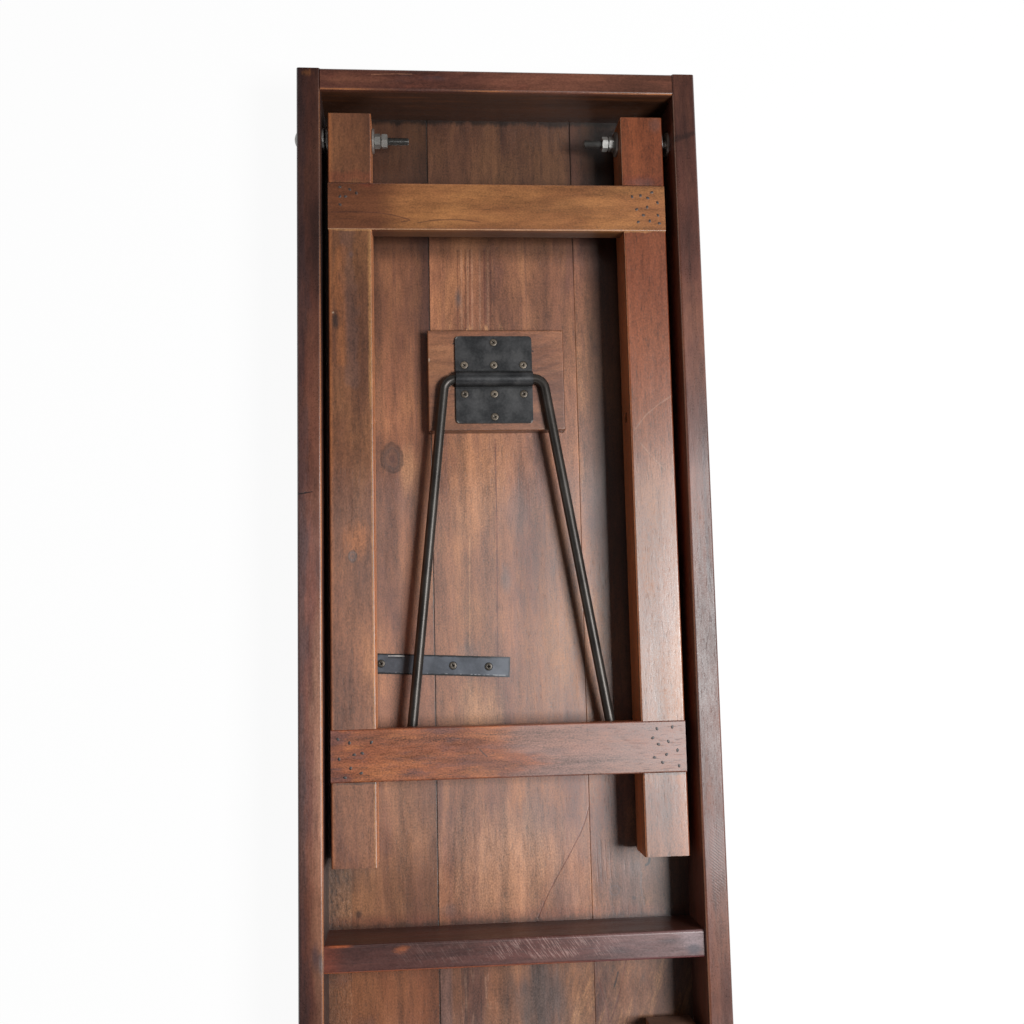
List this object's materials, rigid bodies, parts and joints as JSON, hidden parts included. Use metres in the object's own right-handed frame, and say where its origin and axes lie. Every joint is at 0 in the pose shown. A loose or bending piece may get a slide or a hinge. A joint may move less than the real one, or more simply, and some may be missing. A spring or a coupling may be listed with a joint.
{
  "type": "folding console table",
  "caption": "Long narrow plank-topped wooden table whose ladder leg frames fold into the apron tray and are held open by sprung U-bent steel stays.",
  "frame": {"origin": "centre of the top's outer face, which lies on the floor in the folded rest pose", "axes": "+Y along the table towards end a, +Z from the top's outer face towards the underside, +X across"},
  "size_m": [0.41, 1.71, 0.086],
  "materials": {
    "board_wood": "stained reclaimed hardwood, waxed",
    "apron_wood": "dark red-brown stain, worn arrises",
    "bearer_wood": "dark red-brown stain, saw marks",
    "leg_wood": "golden-brown stain, waxed",
    "block_wood": "stained, waxed",
    "rod_steel": "blackened round bar",
    "plate_steel": "blackened sheet steel",
    "screw_steel": "dulled zinc",
    "nail_steel": "dark steel",
    "zinc_steel": "bright zinc plate"
  },
  "bodies": {
    "table": {"centre_bearer": "bearer_wood", "end_apron_a": "apron_wood", "end_apron_b": "apron_wood", "frame_nails": "nail_steel", "lock_nuts_a_left": "zinc_steel", "lock_nuts_a_right": "zinc_steel", "lock_nuts_b_left": "zinc_steel", "lock_nuts_b_right": "zinc_steel", "mending_strip_a": "plate_steel", "mending_strip_b": "plate_steel", "pivot_bolt_a_left": "zinc_steel", "pivot_bolt_a_right": "zinc_steel", "pivot_bolt_b_left": "zinc_steel", "pivot_bolt_b_right": "zinc_steel", "pivot_washers_a_left": "zinc_steel", "pivot_washers_a_right": "zinc_steel", "pivot_washers_b_left": "zinc_steel", "pivot_washers_b_right": "zinc_steel", "side_apron_left": "apron_wood", "side_apron_right": "apron_wood", "stay_block_a": "block_wood", "stay_block_b": "block_wood", "strap_plate_a": "plate_steel", "strap_plate_b": "plate_steel", "strap_screws_a": "screw_steel", "strap_screws_b": "screw_steel", "strip_screws_a": "screw_steel", "strip_screws_b": "screw_steel", "top_board_left": "board_wood", "top_board_middle": "board_wood", "top_board_right": "board_wood"},
    "leg_frame_a": {"cross_rail_a_lower": "leg_wood", "cross_rail_a_upper": "leg_wood", "lap_nails_a": "nail_steel", "leg_rail_a_left": "leg_wood", "leg_rail_a_right": "leg_wood"},
    "leg_frame_b": {"cross_rail_b_lower": "leg_wood", "cross_rail_b_upper": "leg_wood", "lap_nails_b": "nail_steel", "leg_rail_b_left": "leg_wood", "leg_rail_b_right": "leg_wood"},
    "stay_a": {"stay_rod_a": "rod_steel"},
    "stay_b": {"stay_rod_b": "rod_steel"}
  },
  "joints": [
    {"name": "leg_a_fold", "type": "hinge", "parent": "table", "child": "leg_frame_a", "pos_m": [0, 0.7945, 0.0525], "axis": [-1, 0, 0], "range_deg": [0, 90]},
    {"name": "stay_a_swing", "type": "hinge", "parent": "table", "child": "stay_a", "pos_m": [0, 0.5501, 0.0411], "axis": [-1, 0, 0], "range_deg": [0, 129.3]},
    {"name": "leg_b_fold", "type": "hinge", "parent": "table", "child": "leg_frame_b", "pos_m": [0, -0.7945, 0.0525], "axis": [1, 0, 0], "range_deg": [0, 90]},
    {"name": "stay_b_swing", "type": "hinge", "parent": "table", "child": "stay_b", "pos_m": [0, -0.5501, 0.0411], "axis": [1, 0, 0], "range_deg": [0, 129.3]}
  ],
  "couplings": [
    {"joint": "stay_a_swing", "follows": "leg_a_fold", "ratio": 1.4365},
    {"joint": "stay_b_swing", "follows": "leg_b_fold", "ratio": 1.4365}
  ]
}
